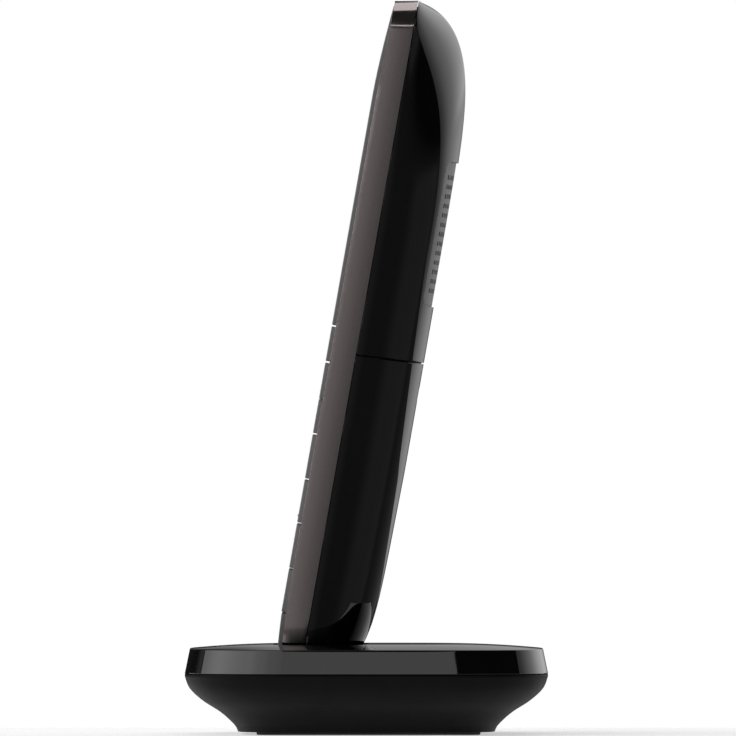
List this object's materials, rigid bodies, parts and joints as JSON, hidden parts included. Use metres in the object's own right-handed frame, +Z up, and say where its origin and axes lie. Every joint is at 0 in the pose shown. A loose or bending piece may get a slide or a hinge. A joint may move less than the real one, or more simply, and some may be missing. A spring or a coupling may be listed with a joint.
{
  "type": "cordless phone with base",
  "caption": "Slim cordless telephone handset leaning back in a low charging base, with a full-width keypad and a speaker grille on the back.",
  "frame": {"origin": "middle of the base's underside, where its feet rest", "axes": "+Z up, -Y the way the phone faces, +X to the right as seen from the back"},
  "size_m": [0.098, 0.087, 0.1758],
  "materials": {
    "gloss_black": "high gloss",
    "gunmetal": "painted metallic",
    "key_gunmetal": "painted metallic",
    "nav_satin": "satin paint",
    "matt_black": "fine moulded texture",
    "satin_grey": "satin",
    "display_glass": "clear window",
    "lcd_panel": "satin",
    "board_green": "solder mask",
    "rubber_dark": "matt",
    "contact_gold": "plated",
    "screw_steel": "satin",
    "battery_wrap": "printed film",
    "light_pipe_clear": "clear"
  },
  "bodies": {
    "base": {"base_top_plate": "gloss_black", "base_lower_housing": "matt_black", "foot_strip_left": "rubber_dark", "foot_strip_right": "rubber_dark", "base_pcb": "board_green", "button_board": "board_green", "page_switch": "matt_black", "light_pipe": "light_pipe_clear", "contact_block": "matt_black", "line_socket": "matt_black", "power_jack": "matt_black", "base_screw_left": "screw_steel", "base_screw_right": "screw_steel"},
    "handset": {"front_frame": "gunmetal", "upper_fascia": "gunmetal", "lower_fascia": "gunmetal", "display_lens": "display_glass", "lcd_module": "lcd_panel", "earpiece_grille": "screw_steel", "earpiece_receiver": "screw_steel", "keypad_mat": "rubber_dark", "handset_pcb": "board_green", "microphone": "screw_steel", "rear_housing": "gloss_black", "speaker_grille": "satin_grey", "loudspeaker": "matt_black", "battery_left": "battery_wrap", "battery_right": "battery_wrap", "battery_spring_left": "screw_steel", "battery_spring_right": "screw_steel", "battery_link": "screw_steel", "handset_pad_left": "contact_gold", "handset_pad_right": "contact_gold", "handset_screw_left": "screw_steel", "handset_screw_right": "screw_steel"},
    "battery_cover": {"battery_cover": "gloss_black"},
    "key_1": {"key_1": "key_gunmetal"},
    "key_2": {"key_2": "key_gunmetal"},
    "key_3": {"key_3": "key_gunmetal"},
    "key_4": {"key_4": "key_gunmetal"},
    "key_5": {"key_5": "key_gunmetal"},
    "key_6": {"key_6": "key_gunmetal"},
    "key_7": {"key_7": "key_gunmetal"},
    "key_8": {"key_8": "key_gunmetal"},
    "key_9": {"key_9": "key_gunmetal"},
    "key_star": {"key_star": "key_gunmetal"},
    "key_0": {"key_0": "key_gunmetal"},
    "key_hash": {"key_hash": "key_gunmetal"},
    "soft_key_left": {"soft_key_left": "key_gunmetal"},
    "soft_key_right": {"soft_key_right": "key_gunmetal"},
    "key_talk": {"key_talk": "key_gunmetal"},
    "key_end": {"key_end": "key_gunmetal"},
    "key_speaker": {"key_speaker": "key_gunmetal"},
    "key_menu": {"key_menu": "key_gunmetal"},
    "nav_ok": {"nav_ok": "nav_satin"},
    "nav_ring": {"nav_ring": "nav_satin"},
    "page_button": {"page_button": "gloss_black"},
    "charge_pin_left": {"charge_pin_left": "contact_gold"},
    "charge_pin_right": {"charge_pin_right": "contact_gold"}
  },
  "joints": [
    {"name": "handset_lift", "type": "slide", "parent": "base", "child": "handset", "axis": [0, 0.1736, 0.9848], "range_m": [0, 0.06]},
    {"name": "battery_cover_hinge", "type": "hinge", "parent": "handset", "child": "battery_cover", "pos_m": [0, -0.00902, 0.01891], "axis": [-1, 0, 0], "range_deg": [0, 8]},
    {"name": "key_1_press", "type": "slide", "parent": "handset", "child": "key_1", "axis": [0, 0.9848, -0.1736], "range_m": [0, 0.0006], "stiffness_N_per_m": 200},
    {"name": "key_2_press", "type": "slide", "parent": "handset", "child": "key_2", "axis": [0, 0.9848, -0.1736], "range_m": [0, 0.0006], "stiffness_N_per_m": 200},
    {"name": "key_3_press", "type": "slide", "parent": "handset", "child": "key_3", "axis": [0, 0.9848, -0.1736], "range_m": [0, 0.0006], "stiffness_N_per_m": 200},
    {"name": "key_4_press", "type": "slide", "parent": "handset", "child": "key_4", "axis": [0, 0.9848, -0.1736], "range_m": [0, 0.0006], "stiffness_N_per_m": 200},
    {"name": "key_5_press", "type": "slide", "parent": "handset", "child": "key_5", "axis": [0, 0.9848, -0.1736], "range_m": [0, 0.0006], "stiffness_N_per_m": 200},
    {"name": "key_6_press", "type": "slide", "parent": "handset", "child": "key_6", "axis": [0, 0.9848, -0.1736], "range_m": [0, 0.0006], "stiffness_N_per_m": 200},
    {"name": "key_7_press", "type": "slide", "parent": "handset", "child": "key_7", "axis": [0, 0.9848, -0.1736], "range_m": [0, 0.0006], "stiffness_N_per_m": 200},
    {"name": "key_8_press", "type": "slide", "parent": "handset", "child": "key_8", "axis": [0, 0.9848, -0.1736], "range_m": [0, 0.0006], "stiffness_N_per_m": 200},
    {"name": "key_9_press", "type": "slide", "parent": "handset", "child": "key_9", "axis": [0, 0.9848, -0.1736], "range_m": [0, 0.0006], "stiffness_N_per_m": 200},
    {"name": "key_star_press", "type": "slide", "parent": "handset", "child": "key_star", "axis": [0, 0.9848, -0.1736], "range_m": [0, 0.0006], "stiffness_N_per_m": 200},
    {"name": "key_0_press", "type": "slide", "parent": "handset", "child": "key_0", "axis": [0, 0.9848, -0.1736], "range_m": [0, 0.0006], "stiffness_N_per_m": 200},
    {"name": "key_hash_press", "type": "slide", "parent": "handset", "child": "key_hash", "axis": [0, 0.9848, -0.1736], "range_m": [0, 0.0006], "stiffness_N_per_m": 200},
    {"name": "soft_key_left_press", "type": "slide", "parent": "handset", "child": "soft_key_left", "axis": [0, 0.9848, -0.1736], "range_m": [0, 0.0006], "stiffness_N_per_m": 200},
    {"name": "soft_key_right_press", "type": "slide", "parent": "handset", "child": "soft_key_right", "axis": [0, 0.9848, -0.1736], "range_m": [0, 0.0006], "stiffness_N_per_m": 200},
    {"name": "key_talk_press", "type": "slide", "parent": "handset", "child": "key_talk", "axis": [0, 0.9848, -0.1736], "range_m": [0, 0.0006], "stiffness_N_per_m": 200},
    {"name": "key_end_press", "type": "slide", "parent": "handset", "child": "key_end", "axis": [0, 0.9848, -0.1736], "range_m": [0, 0.0006], "stiffness_N_per_m": 200},
    {"name": "key_speaker_press", "type": "slide", "parent": "handset", "child": "key_speaker", "axis": [0, 0.9848, -0.1736], "range_m": [0, 0.0006], "stiffness_N_per_m": 200},
    {"name": "key_menu_press", "type": "slide", "parent": "handset", "child": "key_menu", "axis": [0, 0.9848, -0.1736], "range_m": [0, 0.0006], "stiffness_N_per_m": 200},
    {"name": "nav_ok_press", "type": "slide", "parent": "handset", "child": "nav_ok", "axis": [0, 0.9848, -0.1736], "range_m": [0, 0.0006], "stiffness_N_per_m": 200},
    {"name": "nav_ring_rock", "type": "hinge", "parent": "handset", "child": "nav_ring", "pos_m": [0, -0.00837, 0.08018], "axis": [1, 0, 0], "range_deg": [-3, 3], "stiffness_Nm_per_rad": 0.05},
    {"name": "page_button_press", "type": "slide", "parent": "base", "child": "page_button", "axis": [0, 0, -1], "range_m": [0, 0.0006], "stiffness_N_per_m": 200},
    {"name": "charge_pin_left_spring", "type": "slide", "parent": "base", "child": "charge_pin_left", "axis": [0, -0.1736, -0.9848], "range_m": [0, 0.001], "stiffness_N_per_m": 150},
    {"name": "charge_pin_right_spring", "type": "slide", "parent": "base", "child": "charge_pin_right", "axis": [0, -0.1736, -0.9848], "range_m": [0, 0.001], "stiffness_N_per_m": 150}
  ]
}
